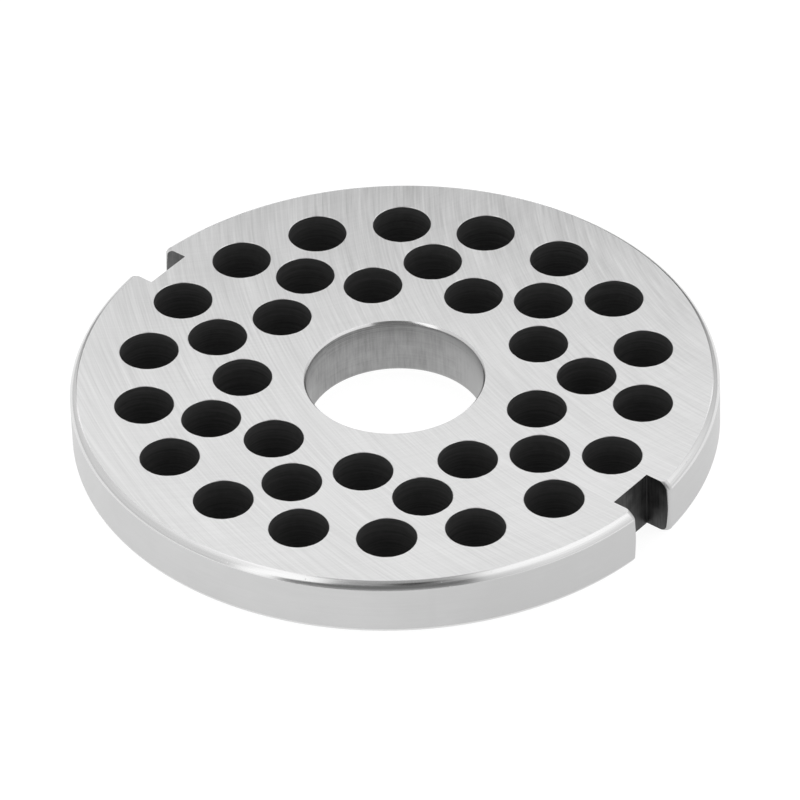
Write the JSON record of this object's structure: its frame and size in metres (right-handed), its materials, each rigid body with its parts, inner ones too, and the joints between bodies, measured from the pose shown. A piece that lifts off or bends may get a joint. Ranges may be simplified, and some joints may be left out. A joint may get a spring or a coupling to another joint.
{
  "type": "meat grinder plate",
  "caption": "Flat round meat grinder plate with a plain centre bore, three rings of drilled through holes and two square locating slots in its rim.",
  "frame": {"origin": "centre of the flat back face, on the bore's axis", "axes": "+Z along the bore axis from the back face to the cutting face, +X from the axis to slot_a"},
  "size_m": [0.0816, 0.082, 0.0077],
  "materials": {
    "steel": "satin"
  },
  "bodies": {
    "root": {"grinder_plate": "steel"}
  },
  "joints": []
}
